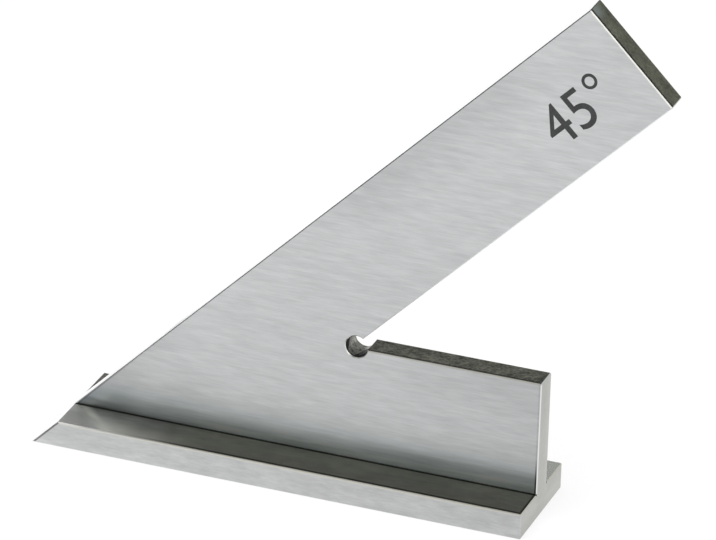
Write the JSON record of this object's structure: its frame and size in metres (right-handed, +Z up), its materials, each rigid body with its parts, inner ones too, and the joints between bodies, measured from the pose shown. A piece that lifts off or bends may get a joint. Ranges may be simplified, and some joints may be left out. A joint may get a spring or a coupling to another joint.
{
  "type": "acute angle square",
  "caption": "Acute angle square of ground steel: a leaning V-shaped blade at 45 degrees is set into a wide back bar, with a clearance hole in its inner corner.",
  "frame": {"origin": "centre of the bar's underside, under the blade", "axes": "+X along the bar away from its sharp tip, +Y across the bar, +Z up from the underside"},
  "size_m": [0.1225, 0.0232, 0.1059],
  "materials": {
    "blade_steel": "surface ground along the bar, fine streaks, satin",
    "bar_steel": "surface ground along the bar, satin",
    "screw_steel": "machined, slightly oily",
    "pin_steel": "ground",
    "etched_mark": "dark etched mark, matt"
  },
  "bodies": {
    "root": {"back_bar": "bar_steel", "blade": "blade_steel", "screw_1": "screw_steel", "screw_2": "screw_steel", "screw_3": "screw_steel", "screw_4": "screw_steel", "dowel_pin_1": "pin_steel", "dowel_pin_2": "pin_steel"}
  },
  "joints": []
}
